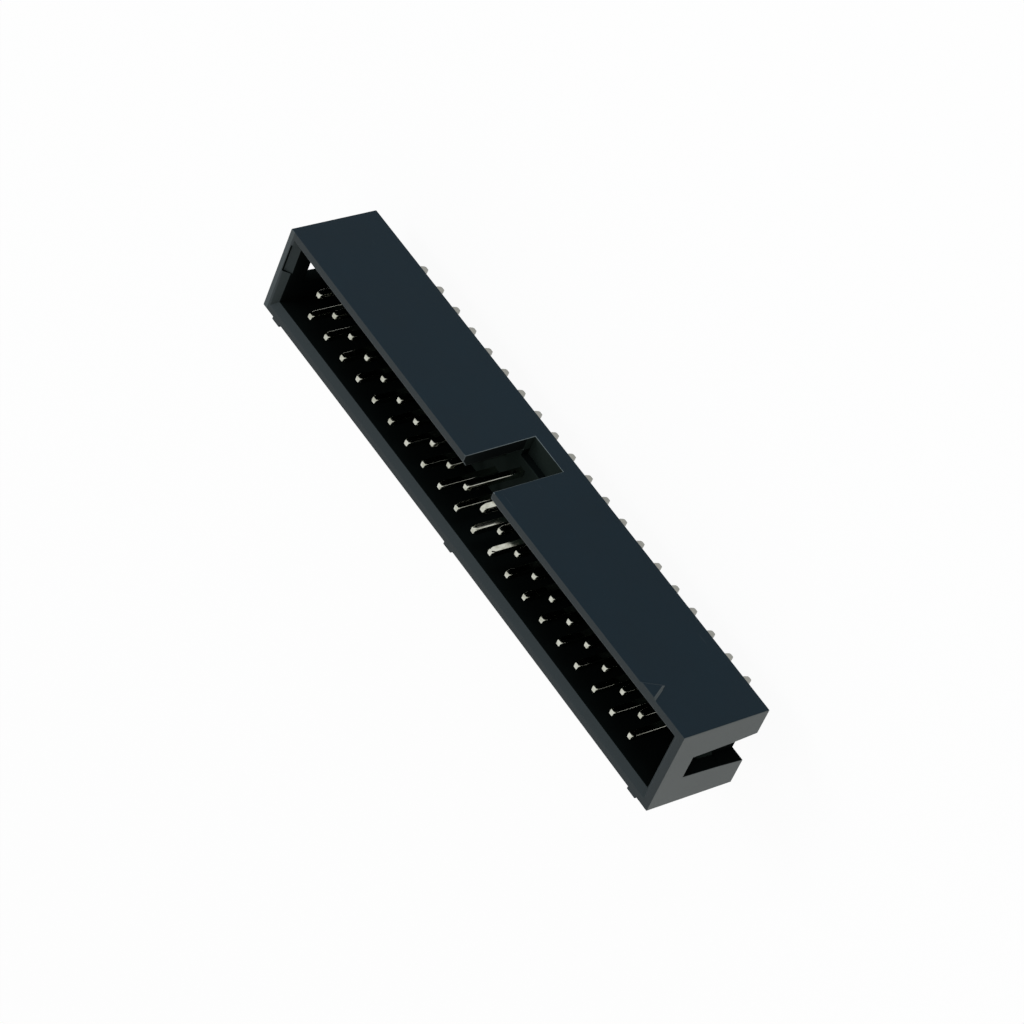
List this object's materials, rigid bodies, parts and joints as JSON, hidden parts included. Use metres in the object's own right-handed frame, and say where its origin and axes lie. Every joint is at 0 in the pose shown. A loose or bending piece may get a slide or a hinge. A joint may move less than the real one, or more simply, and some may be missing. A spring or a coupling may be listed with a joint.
{
  "type": "box header",
  "caption": "Straight two-row shrouded pin header for a ribbon cable plug: a black moulded box with a keyway, end slots and square through-board pins.",
  "frame": {"origin": "middle of the pin field, on the underside that sits on the board", "axes": "+X along the rows, away from pin 1; -Y towards the wall with the keyway; +Z the way the plug comes off, so the solder tails point down"},
  "size_m": [0.0584, 0.0093, 0.012],
  "materials": {
    "housing_plastic": "moulded black, fine satin skin",
    "plated_pin": "bright plated square wire"
  },
  "bodies": {
    "root": {"housing": "housing_plastic", "pin_01": "plated_pin", "pin_02": "plated_pin", "pin_03": "plated_pin", "pin_04": "plated_pin", "pin_05": "plated_pin", "pin_06": "plated_pin", "pin_07": "plated_pin", "pin_08": "plated_pin", "pin_09": "plated_pin", "pin_10": "plated_pin", "pin_11": "plated_pin", "pin_12": "plated_pin", "pin_13": "plated_pin", "pin_14": "plated_pin", "pin_15": "plated_pin", "pin_16": "plated_pin", "pin_17": "plated_pin", "pin_18": "plated_pin", "pin_19": "plated_pin", "pin_20": "plated_pin", "pin_21": "plated_pin", "pin_22": "plated_pin", "pin_23": "plated_pin", "pin_24": "plated_pin", "pin_25": "plated_pin", "pin_26": "plated_pin", "pin_27": "plated_pin", "pin_28": "plated_pin", "pin_29": "plated_pin", "pin_30": "plated_pin", "pin_31": "plated_pin", "pin_32": "plated_pin", "pin_33": "plated_pin", "pin_34": "plated_pin", "pin_35": "plated_pin", "pin_36": "plated_pin", "pin_37": "plated_pin", "pin_38": "plated_pin", "pin_39": "plated_pin", "pin_40": "plated_pin"}
  },
  "joints": []
}
